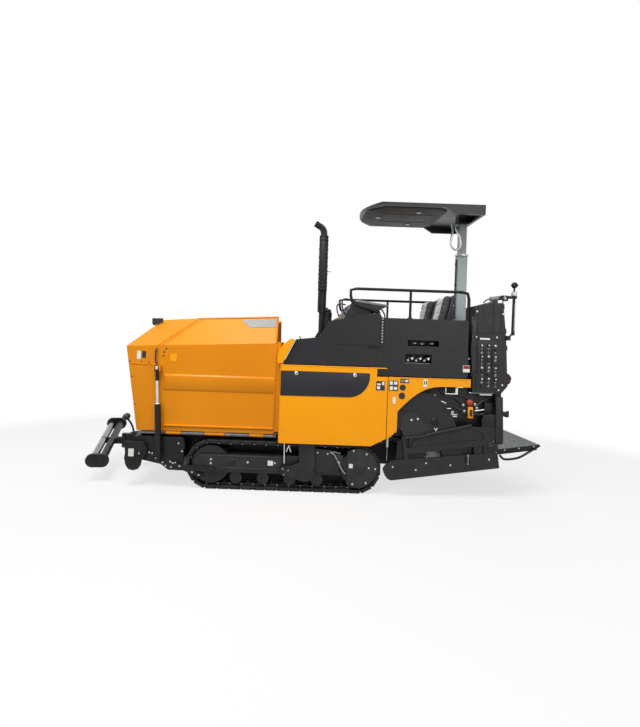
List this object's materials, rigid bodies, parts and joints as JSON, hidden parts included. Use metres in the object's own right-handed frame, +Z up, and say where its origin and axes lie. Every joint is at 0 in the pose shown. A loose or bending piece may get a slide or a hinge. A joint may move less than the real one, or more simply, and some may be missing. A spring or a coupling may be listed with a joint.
{
  "type": "compact tracked asphalt paver",
  "caption": "Compact asphalt paver on tracks with folding hopper wings, push rollers, operator platform under a roof, augers and a lifted extending screed.",
  "frame": {"origin": "on the ground under the middle of the whole machine", "axes": "+X forwards to the hopper, +Y to the left of the machine, +Z up"},
  "size_m": [5.684, 1.908, 3.54],
  "materials": {
    "yellow_paint": "gloss",
    "dark_paint": "satin",
    "black_paint": "satin",
    "track_rubber": "matte",
    "chrome": "polished",
    "worn_steel": "worn",
    "mast_paint": "satin",
    "seat_vinyl": "matte",
    "roof_moulding": "satin"
  },
  "bodies": {
    "chassis": {"main_frame": "black_paint", "nose_frame": "black_paint", "track_left": "track_rubber", "track_right": "track_rubber", "track_frame_left": "dark_paint", "track_frame_right": "dark_paint", "hopper_floor": "black_paint", "conveyor": "worn_steel", "engine_bay": "black_paint", "engine_block": "dark_paint", "rear_quarter_left": "yellow_paint", "rear_quarter_right": "yellow_paint", "rear_frame": "black_paint", "body_side_left": "dark_paint", "body_side_right": "dark_paint", "hood_deck": "dark_paint", "console": "black_paint", "platform_floor": "black_paint", "seat_left": "seat_vinyl", "seat_right": "seat_vinyl", "guard_rail_left": "black_paint", "guard_rail_right": "black_paint", "corner_cover_left": "yellow_paint", "corner_cover_right": "yellow_paint", "exhaust_stack": "black_paint", "air_cleaner": "black_paint", "canopy_mast": "mast_paint", "rear_cabinet": "dark_paint", "rear_lamp": "black_paint"},
    "hopper_wing_left": {"hopper_wing_left": "yellow_paint"},
    "wing_barrel_left": {"wing_barrel_left": "black_paint"},
    "wing_rod_left": {"wing_rod_left": "chrome"},
    "hopper_wing_right": {"hopper_wing_right": "yellow_paint"},
    "wing_barrel_right": {"wing_barrel_right": "black_paint"},
    "wing_rod_right": {"wing_rod_right": "chrome"},
    "push_knuckle": {"push_knuckle": "black_paint"},
    "push_beam": {"push_beam": "black_paint"},
    "push_roller_left": {"push_roller_left": "worn_steel"},
    "push_roller_right": {"push_roller_right": "worn_steel"},
    "auger_left": {"auger_left": "worn_steel"},
    "auger_right": {"auger_right": "worn_steel"},
    "side_door_left": {"side_door_left": "yellow_paint"},
    "side_door_right": {"side_door_right": "yellow_paint"},
    "engine_hood": {"engine_hood": "dark_paint"},
    "canopy": {"canopy_roof": "roof_moulding", "canopy_post": "mast_paint"},
    "screed": {"tow_arm_left": "dark_paint", "tow_arm_right": "dark_paint", "screed_body": "dark_paint"},
    "screed_extension_left": {"screed_extension_left": "dark_paint"},
    "screed_extension_right": {"screed_extension_right": "dark_paint"},
    "footboard": {"footboard": "black_paint"},
    "lift_barrel_left": {"lift_barrel_left": "black_paint"},
    "lift_rod_left": {"lift_rod_left": "chrome"},
    "lift_barrel_right": {"lift_barrel_right": "black_paint"},
    "lift_rod_right": {"lift_rod_right": "chrome"}
  },
  "joints": [
    {"name": "hopper_wing_left_fold", "type": "hinge", "parent": "chassis", "child": "hopper_wing_left", "pos_m": [1.0125, 0.838, 0.645], "axis": [-1, 0, 0], "range_deg": [0, 40]},
    {"name": "wing_barrel_left_swing", "type": "hinge", "parent": "chassis", "child": "wing_barrel_left", "pos_m": [1.6745, 0.918, 0.33], "axis": [-1, 0, 0], "range_deg": [-2, 31.1]},
    {"name": "wing_rod_left_stroke", "type": "slide", "parent": "wing_barrel_left", "child": "wing_rod_left", "axis": [0.0463, 0, 0.9989], "range_m": [-0.117, 0.01]},
    {"name": "hopper_wing_right_fold", "type": "hinge", "parent": "chassis", "child": "hopper_wing_right", "pos_m": [1.0125, -0.838, 0.645], "axis": [1, 0, 0], "range_deg": [0, 40]},
    {"name": "wing_barrel_right_swing", "type": "hinge", "parent": "chassis", "child": "wing_barrel_right", "pos_m": [1.6745, -0.918, 0.33], "axis": [1, 0, 0], "range_deg": [-2, 31.1]},
    {"name": "wing_rod_right_stroke", "type": "slide", "parent": "wing_barrel_right", "child": "wing_rod_right", "axis": [0.0463, 0, 0.9989], "range_m": [-0.117, 0.01]},
    {"name": "push_knuckle_turn", "type": "hinge", "parent": "chassis", "child": "push_knuckle", "pos_m": [2.3615, 0, 0.3735], "axis": [0, 0, 1], "range_deg": [-22, 2]},
    {"name": "push_beam_rock", "type": "hinge", "parent": "push_knuckle", "child": "push_beam", "pos_m": [2.58059, 0.03883, 0.3735], "axis": [0.9847, 0.1745, 0], "range_deg": [-1, 19]},
    {"name": "push_roller_left_spin", "type": "hinge", "parent": "push_beam", "child": "push_roller_left", "pos_m": [2.63474, 0.04843, 0.3735], "axis": [-0.1724, 0.9725, -0.1564], "continuous": true},
    {"name": "push_roller_right_spin", "type": "hinge", "parent": "push_beam", "child": "push_roller_right", "pos_m": [2.63474, 0.04843, 0.3735], "axis": [-0.1724, 0.9725, -0.1564], "continuous": true},
    {"name": "auger_left_spin", "type": "hinge", "parent": "chassis", "child": "auger_left", "pos_m": [-1.4075, 0, 0.43], "axis": [0, 1, 0], "continuous": true},
    {"name": "auger_right_spin", "type": "hinge", "parent": "chassis", "child": "auger_right", "pos_m": [-1.4075, 0, 0.43], "axis": [0, 1, 0], "continuous": true},
    {"name": "side_door_left_drop", "type": "hinge", "parent": "chassis", "child": "side_door_left", "pos_m": [-0.3375, 0.934, 0.582], "axis": [-1, 0, 0], "range_deg": [0, 85]},
    {"name": "side_door_right_drop", "type": "hinge", "parent": "chassis", "child": "side_door_right", "pos_m": [-0.3375, -0.934, 0.582], "axis": [1, 0, 0], "range_deg": [0, 85]},
    {"name": "engine_hood_lift", "type": "hinge", "parent": "chassis", "child": "engine_hood", "pos_m": [-0.3835, 0, 1.848], "axis": [0, -1, 0], "range_deg": [0, 65]},
    {"name": "canopy_lower", "type": "slide", "parent": "chassis", "child": "canopy", "axis": [0, 0, 1], "range_m": [-0.39, 0]},
    {"name": "screed_lift", "type": "hinge", "parent": "chassis", "child": "screed", "pos_m": [0.1925, 0, 0.245], "axis": [0, 1, 0], "range_deg": [-8.3, 0.5]},
    {"name": "screed_extension_left_slide", "type": "slide", "parent": "screed", "child": "screed_extension_left", "axis": [0, 1, 0], "range_m": [0, 0.62]},
    {"name": "screed_extension_right_slide", "type": "slide", "parent": "screed", "child": "screed_extension_right", "axis": [0, -1, 0], "range_m": [0, 0.62]},
    {"name": "footboard_fold", "type": "hinge", "parent": "screed", "child": "footboard", "pos_m": [-2.30396, 0, 0.56209], "axis": [0, 1, 0], "range_deg": [0, 90]},
    {"name": "lift_barrel_left_swing", "type": "hinge", "parent": "chassis", "child": "lift_barrel_left", "pos_m": [-1.7875, 0.74, 1.262], "axis": [0, 1, 0], "range_deg": [-1.3, 5.2]},
    {"name": "lift_rod_left_stroke", "type": "slide", "parent": "lift_barrel_left", "child": "lift_rod_left", "axis": [-0.0231, 0, -0.9997], "range_m": [-0.028, 0.306]},
    {"name": "lift_barrel_right_swing", "type": "hinge", "parent": "chassis", "child": "lift_barrel_right", "pos_m": [-1.7875, -0.74, 1.262], "axis": [0, 1, 0], "range_deg": [-1.3, 5.2]},
    {"name": "lift_rod_right_stroke", "type": "slide", "parent": "lift_barrel_right", "child": "lift_rod_right", "axis": [-0.0231, 0, -0.9997], "range_m": [-0.028, 0.306]}
  ],
  "couplings": [
    {"joint": "wing_barrel_left_swing", "follows": "hopper_wing_left_fold", "ratio": 0.72711},
    {"joint": "wing_rod_left_stroke", "follows": "hopper_wing_left_fold", "m_per_rad": -0.15389},
    {"joint": "wing_barrel_right_swing", "follows": "hopper_wing_right_fold", "ratio": 0.72711},
    {"joint": "wing_rod_right_stroke", "follows": "hopper_wing_right_fold", "m_per_rad": -0.15389},
    {"joint": "lift_barrel_left_swing", "follows": "screed_lift", "ratio": -0.51015},
    {"joint": "lift_rod_left_stroke", "follows": "screed_lift", "m_per_rad": -2.0422},
    {"joint": "lift_barrel_right_swing", "follows": "screed_lift", "ratio": -0.51015},
    {"joint": "lift_rod_right_stroke", "follows": "screed_lift", "m_per_rad": -2.0422}
  ]
}
